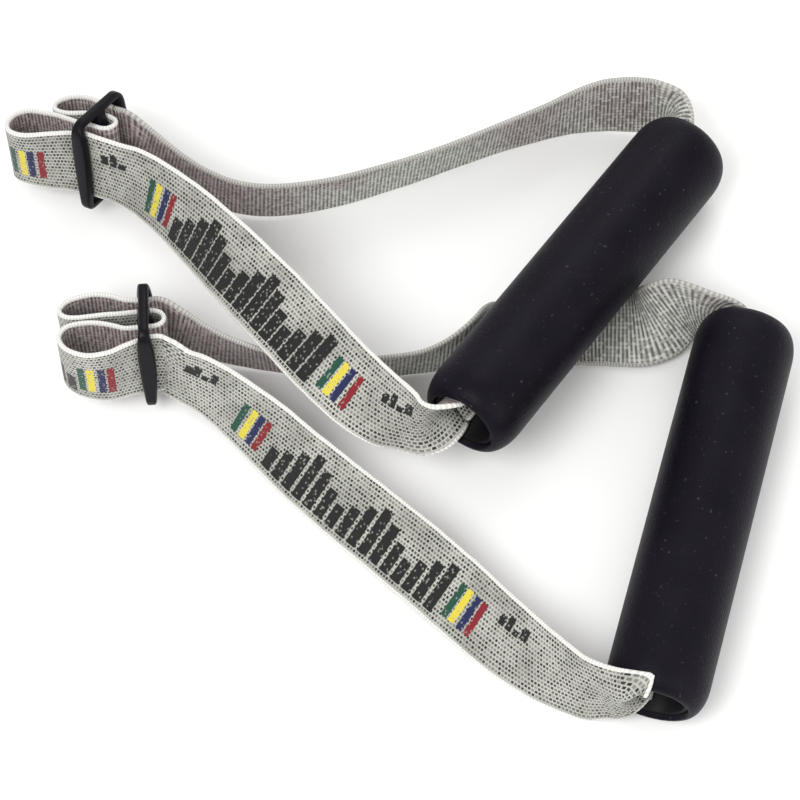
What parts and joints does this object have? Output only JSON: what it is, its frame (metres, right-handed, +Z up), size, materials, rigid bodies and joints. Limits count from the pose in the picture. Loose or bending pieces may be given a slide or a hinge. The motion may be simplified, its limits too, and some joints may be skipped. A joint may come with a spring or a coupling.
{
  "type": "resistance band handles",
  "caption": "Pair of foam-grip exercise band handles, each a webbing loop through a spinning tube and a slider that forms end loops for an elastic band.",
  "frame": {"origin": "centre of the pair's footprint on the table, in the plane the handles lie on", "axes": "+X along the handles' length, from the sliders towards the grips; +Z up from the table; +Y from the front handle towards the rear handle"},
  "size_m": [0.2536, 0.2174, 0.0448],
  "materials": {
    "foam_grip": "closed-cell foam, matt, fine grain",
    "core_tube": "extruded tube",
    "slider": "moulded, soft sheen",
    "webbing": "woven polyester, dotted outer face, ribbed inner face",
    "thread": "sewing thread"
  },
  "bodies": {
    "front_strap": {"front_strap_far_mouth": "webbing", "front_strap_far_run": "webbing", "front_strap_far_slack": "webbing", "front_strap_far_lobe": "webbing", "front_strap_near_lobe": "webbing", "front_strap_near_slack": "webbing", "front_strap_near_run": "webbing", "front_strap_near_mouth": "webbing", "front_strap_near_tail": "webbing", "front_strap_far_tail": "webbing", "front_lap_stitching": "thread"},
    "front_grip": {"front_foam_grip": "foam_grip", "front_core_tube": "core_tube"},
    "front_slider": {"front_slider": "slider", "front_strap_bar_wrap": "webbing"},
    "rear_strap": {"rear_strap_far_mouth": "webbing", "rear_strap_far_run": "webbing", "rear_strap_far_slack": "webbing", "rear_strap_far_lobe": "webbing", "rear_strap_near_lobe": "webbing", "rear_strap_near_slack": "webbing", "rear_strap_near_run": "webbing", "rear_strap_near_mouth": "webbing", "rear_strap_near_tail": "webbing", "rear_strap_far_tail": "webbing", "rear_lap_stitching": "thread"},
    "rear_grip": {"rear_foam_grip": "foam_grip", "rear_core_tube": "core_tube"},
    "rear_slider": {"rear_slider": "slider", "rear_strap_bar_wrap": "webbing"}
  },
  "joints": [
    {"name": "front_grip_spin", "type": "hinge", "parent": "front_strap", "child": "front_grip", "pos_m": [0.09545, -0.04206, 0.016], "axis": [0.2706, 0.9627, 0], "continuous": true},
    {"name": "front_slider_slide", "type": "slide", "parent": "front_strap", "child": "front_slider", "axis": [0.9976, 0.0698, 0], "range_m": [0, 0.015], "deforming": ["front_strap_near_slack", "front_strap_far_slack"]},
    {"name": "rear_grip_spin", "type": "hinge", "parent": "rear_strap", "child": "rear_grip", "pos_m": [0.05885, 0.03464, 0.0225], "axis": [0.577, 0.8089, -0.1132], "continuous": true},
    {"name": "rear_slider_slide", "type": "slide", "parent": "rear_strap", "child": "rear_slider", "axis": [0.8559, -0.457, 0.2419], "range_m": [0, 0.015], "deforming": ["rear_strap_near_slack", "rear_strap_far_slack"]},
    {"name": "rear_handle_lift", "type": "slide", "parent": "front_strap", "child": "rear_strap", "axis": [0, 0, 1], "range_m": [0, 0.06]}
  ]
}
